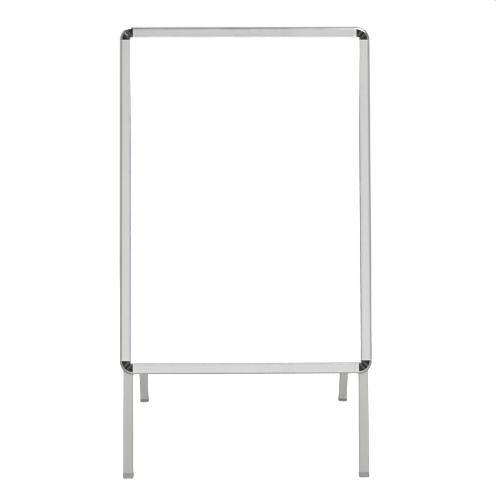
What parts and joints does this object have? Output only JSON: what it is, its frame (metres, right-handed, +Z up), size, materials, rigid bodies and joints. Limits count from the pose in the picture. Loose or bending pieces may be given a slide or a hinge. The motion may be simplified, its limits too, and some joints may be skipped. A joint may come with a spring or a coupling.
{
  "type": "sandwich board",
  "caption": "Folding pavement sandwich board: two hinged leaves, each a snap-open poster frame with rounded corners on two tubular legs, held open by sliding stays.",
  "frame": {"origin": "on the floor, midway between the two leaves and the two sides", "axes": "+Z up, +X along the hinge axis (to the viewer's right of the front face), front leaf facing -Y"},
  "size_m": [0.638, 0.644, 1.1067],
  "materials": {
    "anodised_cover": "satin silver anodised",
    "anodised_rail": "satin silver anodised",
    "silver_corner": "satin silver plated moulding",
    "dark_inlay": "gloss black",
    "zinc_steel": "zinc plated",
    "spring_steel": "tempered strip",
    "panel_steel": "galvanised sheet",
    "poster_paper": "plain white, matt",
    "clear_plastic": "clear anti-glare sheet",
    "leg_aluminium": "satin anodised tube",
    "foot_plastic": "moulded grey",
    "rivet_aluminium": "plain",
    "hinge_plastic": "glass-filled nylon, black",
    "stay_steel": "zinc plated flat bar",
    "washer_nylon": "natural nylon"
  },
  "bodies": {
    "front_leaf": {"front_top_rail": "anodised_rail", "front_bottom_rail": "anodised_rail", "front_left_rail": "anodised_rail", "front_right_rail": "anodised_rail", "front_corner_pieces": "silver_corner", "front_corner_inlays": "dark_inlay", "front_corner_keys": "zinc_steel", "front_cover_springs": "spring_steel", "front_back_panel": "panel_steel", "front_poster": "poster_paper", "front_clear_sheet": "clear_plastic", "front_left_leg": "leg_aluminium", "front_left_foot": "foot_plastic", "front_right_leg": "leg_aluminium", "front_right_foot": "foot_plastic", "front_frame_rivets": "rivet_aluminium", "left_hinge_fork": "hinge_plastic", "left_hinge_pin": "zinc_steel", "left_stay_rivet": "zinc_steel", "right_hinge_fork": "hinge_plastic", "right_hinge_pin": "zinc_steel", "right_stay_rivet": "zinc_steel", "stay_washers": "washer_nylon"},
    "rear_leaf": {"rear_top_rail": "anodised_rail", "rear_bottom_rail": "anodised_rail", "rear_left_rail": "anodised_rail", "rear_right_rail": "anodised_rail", "rear_corner_pieces": "silver_corner", "rear_corner_inlays": "dark_inlay", "rear_corner_keys": "zinc_steel", "rear_cover_springs": "spring_steel", "rear_back_panel": "panel_steel", "rear_poster": "poster_paper", "rear_clear_sheet": "clear_plastic", "rear_left_leg": "leg_aluminium", "rear_left_foot": "foot_plastic", "rear_right_leg": "leg_aluminium", "rear_right_foot": "foot_plastic", "rear_frame_rivets": "rivet_aluminium", "left_hinge_tongue": "hinge_plastic", "right_hinge_tongue": "hinge_plastic"},
    "front_top_cover": {"front_top_cover": "anodised_cover"},
    "front_bottom_cover": {"front_bottom_cover": "anodised_cover"},
    "front_left_cover": {"front_left_cover": "anodised_cover"},
    "front_right_cover": {"front_right_cover": "anodised_cover"},
    "rear_top_cover": {"rear_top_cover": "anodised_cover"},
    "rear_bottom_cover": {"rear_bottom_cover": "anodised_cover"},
    "rear_left_cover": {"rear_left_cover": "anodised_cover"},
    "rear_right_cover": {"rear_right_cover": "anodised_cover"},
    "left_stay": {"left_stay": "stay_steel", "left_stay_slider": "zinc_steel"},
    "right_stay": {"right_stay": "stay_steel", "right_stay_slider": "zinc_steel"}
  },
  "joints": [
    {"name": "fold", "type": "hinge", "parent": "front_leaf", "child": "rear_leaf", "pos_m": [0, 0, 1.08023], "axis": [-1, 0, 0], "range_deg": [0, 31]},
    {"name": "left_stay_turn", "type": "hinge", "parent": "front_leaf", "child": "left_stay", "pos_m": [-0.283, -0.09879, 0.76517], "axis": [-1, 0, 0], "range_deg": [0, 62]},
    {"name": "right_stay_turn", "type": "hinge", "parent": "front_leaf", "child": "right_stay", "pos_m": [0.283, -0.09879, 0.76517], "axis": [-1, 0, 0], "range_deg": [0, 62]},
    {"name": "front_top_snap", "type": "hinge", "parent": "front_leaf", "child": "front_top_cover", "pos_m": [0, -0.01907, 1.10316], "axis": [-1, 0, 0], "range_deg": [0, 90]},
    {"name": "front_bottom_snap", "type": "hinge", "parent": "front_leaf", "child": "front_bottom_cover", "pos_m": [0, -0.25397, 0.25613], "axis": [1, 0, 0], "range_deg": [0, 90]},
    {"name": "front_left_snap", "type": "hinge", "parent": "front_leaf", "child": "front_left_cover", "pos_m": [-0.316, -0.13652, 0.67964], "axis": [0, -0.2672, -0.9636], "range_deg": [0, 90]},
    {"name": "front_right_snap", "type": "hinge", "parent": "front_leaf", "child": "front_right_cover", "pos_m": [0.316, -0.13652, 0.67964], "axis": [0, 0.2672, 0.9636], "range_deg": [0, 90]},
    {"name": "rear_top_snap", "type": "hinge", "parent": "rear_leaf", "child": "rear_top_cover", "pos_m": [0, 0.01907, 1.10316], "axis": [1, 0, 0], "range_deg": [0, 90]},
    {"name": "rear_bottom_snap", "type": "hinge", "parent": "rear_leaf", "child": "rear_bottom_cover", "pos_m": [0, 0.25397, 0.25613], "axis": [-1, 0, 0], "range_deg": [0, 90]},
    {"name": "rear_right_snap", "type": "hinge", "parent": "rear_leaf", "child": "rear_right_cover", "pos_m": [0.316, 0.13652, 0.67964], "axis": [0, 0.2672, -0.9636], "range_deg": [0, 90]},
    {"name": "rear_left_snap", "type": "hinge", "parent": "rear_leaf", "child": "rear_left_cover", "pos_m": [-0.316, 0.13652, 0.67964], "axis": [0, -0.2672, 0.9636], "range_deg": [0, 90]}
  ],
  "couplings": [
    {"joint": "left_stay_turn", "follows": "fold", "ratio": 2},
    {"joint": "right_stay_turn", "follows": "fold", "ratio": 2}
  ]
}
